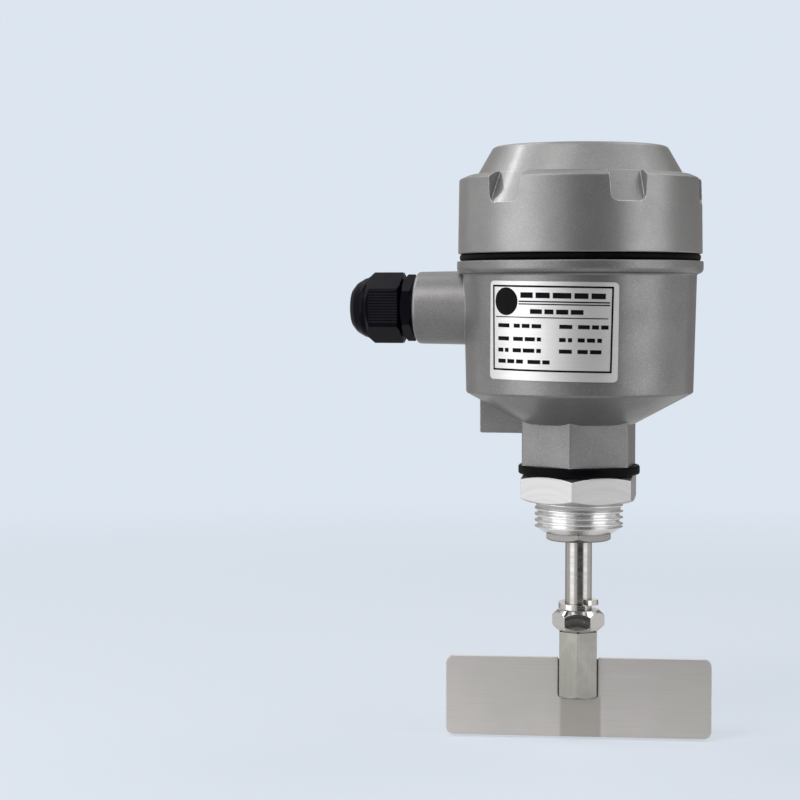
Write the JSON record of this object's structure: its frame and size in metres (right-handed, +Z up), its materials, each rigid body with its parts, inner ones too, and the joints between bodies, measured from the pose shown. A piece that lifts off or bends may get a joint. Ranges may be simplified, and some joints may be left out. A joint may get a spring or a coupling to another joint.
{
  "type": "rotary paddle level switch",
  "caption": "Rotary paddle level switch: painted cast head with screw lid and cable gland, threaded process adapter, shaft and flat rectangular paddle.",
  "frame": {"origin": "centre of the process thread's shoulder, under the adapter's hexagon", "axes": "+Z up the shaft to the lid, cable gland along -X, data plate toward -Y"},
  "size_m": [0.1367, 0.0918, 0.2217],
  "materials": {
    "head_paint": "satin grey paint over a die casting",
    "lid_paint": "satin grey paint over a die casting",
    "black_rubber": "black rubber seal",
    "plate_foil": "brushed foil, silver",
    "adapter_metal": "turned bright aluminium",
    "steel": "drawn stainless steel",
    "blade_steel": "satin sheet steel",
    "bearing_steel": "ground bearing steel",
    "dark_spring_steel": "blackened spring steel",
    "spring_steel": "bright spring steel",
    "plain_steel": "zinc-plated steel",
    "passivated": "yellow-passivated steel",
    "brass": "machined brass",
    "nylon_white": "natural nylon",
    "laminate": "brown laminate",
    "black_plastic": "black moulded plastic",
    "red_plastic": "red moulded plastic",
    "black_nylon": "black moulded nylon"
  },
  "bodies": {
    "housing": {"housing": "head_paint", "lid_oring": "black_rubber", "data_plate": "plate_foil", "neck_gasket": "black_rubber", "adapter": "adapter_metal", "packing_nut": "steel", "shaft_seal": "black_rubber", "bearing_outer_rings": "bearing_steel", "bearing_spacer": "plain_steel", "bearing_circlip": "dark_spring_steel", "base_plate": "passivated", "base_screws": "plain_steel", "spring_post": "plain_steel", "return_spring": "spring_steel", "standoffs": "passivated", "terminal_plate": "laminate", "terminal_block": "black_plastic", "terminal_screws": "brass", "terminal_plate_screws": "plain_steel", "signal_switch": "black_plastic", "cutoff_switch": "black_plastic", "switch_screws": "plain_steel", "switch_tags": "brass", "earth_screw_inner": "passivated", "earth_screw_outer": "plain_steel", "gland_gasket": "black_rubber", "gland_body": "black_nylon", "gland_insert": "black_rubber"},
    "lid": {"lid": "lid_paint"},
    "rotor": {"shaft": "steel", "bearing_inner_rings": "bearing_steel", "shaft_circlips": "dark_spring_steel", "spring_washer": "steel", "jam_nut": "steel", "coupler": "steel", "blade": "blade_steel", "weld_beads": "steel", "clutch_lower": "brass", "clutch_screws": "dark_spring_steel", "clutch_retainer": "dark_spring_steel", "clutch_spring": "spring_steel", "motor_shaft": "plain_steel"},
    "clutch_slider": {"clutch_upper": "brass"},
    "balls_lower": {"balls_lower": "bearing_steel"},
    "balls_upper": {"balls_upper": "bearing_steel"},
    "motor": {"pivot_bush": "nylon_white", "swing_plate": "passivated", "gearbox": "plain_steel", "motor_can": "plain_steel", "motor_screws": "plain_steel", "motor_tags": "brass"},
    "signal_lever": {"signal_lever": "plain_steel"},
    "signal_button": {"signal_button": "red_plastic"},
    "cutoff_lever": {"cutoff_lever": "plain_steel"},
    "cutoff_button": {"cutoff_button": "red_plastic"},
    "gland_nut": {"gland_nut": "black_nylon"}
  },
  "joints": [
    {"name": "lid_lift", "type": "slide", "parent": "housing", "child": "lid", "axis": [0, 0, 1], "range_m": [0, 0.06]},
    {"name": "paddle_spin", "type": "hinge", "parent": "housing", "child": "rotor", "pos_m": [0, 0, 0], "axis": [0, 0, 1], "continuous": true},
    {"name": "clutch_slip", "type": "slide", "parent": "rotor", "child": "clutch_slider", "axis": [0, 0, 1], "range_m": [0, 0.0016], "stiffness_N_per_m": 1500, "springref_m": -0.002, "deforming": ["clutch_spring"]},
    {"name": "balls_lower_roll", "type": "hinge", "parent": "housing", "child": "balls_lower", "pos_m": [0, 0, -0.0027], "axis": [0, 0, 1], "continuous": true},
    {"name": "balls_upper_roll", "type": "hinge", "parent": "housing", "child": "balls_upper", "pos_m": [0, 0, 0.0207], "axis": [0, 0, 1], "continuous": true},
    {"name": "motor_swing", "type": "hinge", "parent": "housing", "child": "motor", "pos_m": [0, 0, 0.054], "axis": [0, 0, 1], "range_deg": [0, 5], "stiffness_Nm_per_rad": 0.7, "springref_deg": -6.88, "deforming": ["return_spring"]},
    {"name": "signal_lever_turn", "type": "hinge", "parent": "housing", "child": "signal_lever", "pos_m": [0.01468, 0.02963, 0.0484], "axis": [0, 0, -1], "range_deg": [0, 10]},
    {"name": "signal_button_press", "type": "slide", "parent": "housing", "child": "signal_button", "axis": [-0.766, 0.6428, 0], "range_m": [0, 0.000795]},
    {"name": "cutoff_lever_turn", "type": "hinge", "parent": "housing", "child": "cutoff_lever", "pos_m": [0.01832, -0.02753, 0.0484], "axis": [0, 0, -1], "range_deg": [0, 10]},
    {"name": "cutoff_button_press", "type": "slide", "parent": "housing", "child": "cutoff_button", "axis": [0.9397, 0.342, 0], "range_m": [0, 0.000795]},
    {"name": "gland_nut_turn", "type": "hinge", "parent": "housing", "child": "gland_nut", "pos_m": [-0.0617, 0, 0.0724], "axis": [-1, 0, 0], "range_deg": [0, 720]}
  ],
  "couplings": [
    {"joint": "balls_lower_roll", "follows": "paddle_spin", "ratio": 0.4375},
    {"joint": "balls_upper_roll", "follows": "paddle_spin", "ratio": 0.4375},
    {"joint": "signal_lever_turn", "follows": "motor_swing", "ratio": 2},
    {"joint": "signal_button_press", "follows": "motor_swing", "m_per_rad": 0.009092},
    {"joint": "cutoff_lever_turn", "follows": "motor_swing", "ratio": 2},
    {"joint": "cutoff_button_press", "follows": "motor_swing", "m_per_rad": 0.009092}
  ]
}
